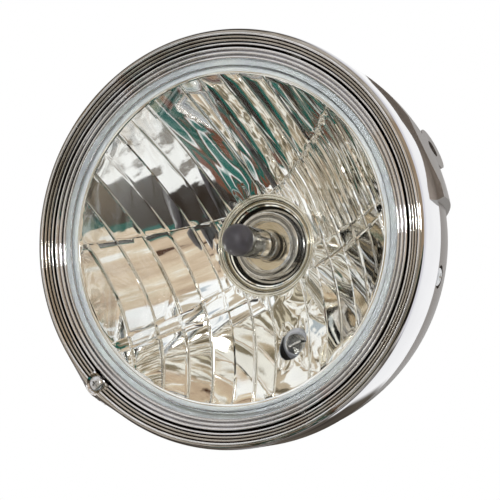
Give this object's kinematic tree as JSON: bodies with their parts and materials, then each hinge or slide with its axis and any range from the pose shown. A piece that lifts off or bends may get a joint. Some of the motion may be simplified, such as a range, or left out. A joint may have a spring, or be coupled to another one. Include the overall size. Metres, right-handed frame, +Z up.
{
  "type": "round motorcycle headlight",
  "caption": "Round chrome headlight with a clear lens, fluted reflector, bulb with a dark cap, side lamp, beam adjuster and a bowl shaped shell held by two side bolts.",
  "frame": {"origin": "middle of the common axis of the two bracket bolt holes, on the lamp's own axis", "axes": "-Y is the way the lamp shines, +X is the viewer's right seen from the front, +Z is up"},
  "size_m": [0.203, 0.1396, 0.202],
  "materials": {
    "chrome": "polished chrome plate",
    "shell_coat": "smooth satin brown grey metallic coat",
    "zinc": "zinc plated steel, satin",
    "yellow_zinc": "pale yellow passivated steel",
    "screw_steel": "zinc plated screw, semi bright",
    "black_rubber": "matte black rubber",
    "pale_seal": "pale translucent silicone seal",
    "white_nylon": "natural white nylon",
    "lens_glass": "clear smooth glass",
    "mirror_coat": "vacuum metallised reflector",
    "bulb_glass": "clear quartz glass",
    "cap_paint": "dark grey heat resistant paint",
    "wire_metal": "bare tungsten and molybdenum wire and sheet",
    "bulb_steel": "pressed stainless steel",
    "black_plastic": "dark moulded insulator",
    "grey_plastic": "grey translucent rubbery plastic",
    "contact_brass": "plain brass blades"
  },
  "bodies": {
    "housing": {"outer_rim": "chrome", "shell": "shell_coat", "bracket_nut_left": "zinc", "bracket_nut_right": "zinc", "cable_grommet": "black_rubber", "rim_tab_left": "zinc", "rim_tab_right": "zinc", "rim_screw_left": "screw_steel", "rim_screw_right": "screw_steel", "pivot_bracket_top": "zinc", "pivot_bracket_bottom": "zinc", "pivot_pin_top": "zinc", "pivot_pin_bottom": "zinc"},
    "adjuster": {"adjuster_screw": "screw_steel", "adjuster_clip": "screw_steel"},
    "beam_unit": {"adjuster_nut": "white_nylon", "adjuster_lug": "zinc", "inner_ring": "chrome", "lens": "lens_glass", "lens_gasket": "pale_seal", "reflector": "mirror_coat", "bulb_seat": "yellow_zinc", "unit_clips": "zinc", "bulb_glass": "bulb_glass", "bulb_cap": "cap_paint", "bulb_dip_shield": "wire_metal", "bulb_filaments": "wire_metal", "bulb_supports": "wire_metal", "bulb_base": "bulb_steel", "bulb_insulator": "black_plastic", "bulb_blades": "contact_brass", "bulb_clip": "zinc", "bulb_clip_bracket": "zinc", "bulb_clip_screw": "screw_steel", "bulb_boot": "black_rubber", "side_bulb_glass": "bulb_glass", "side_bulb_filament": "wire_metal", "side_bulb_holder": "grey_plastic", "side_bulb_contacts": "contact_brass"}
  },
  "joints": [
    {"name": "adjuster_turn", "type": "hinge", "parent": "housing", "child": "adjuster", "pos_m": [-0.08997, -0.045, -0.03544], "axis": [0, 1, 0], "range_deg": [-1620, 1620]},
    {"name": "beam_swing", "type": "hinge", "parent": "housing", "child": "beam_unit", "pos_m": [0, -0.035, 0], "axis": [0, 0, 1], "range_deg": [-2, 2]}
  ],
  "couplings": [
    {"joint": "adjuster_turn", "follows": "beam_swing", "ratio": 807.56}
  ]
}
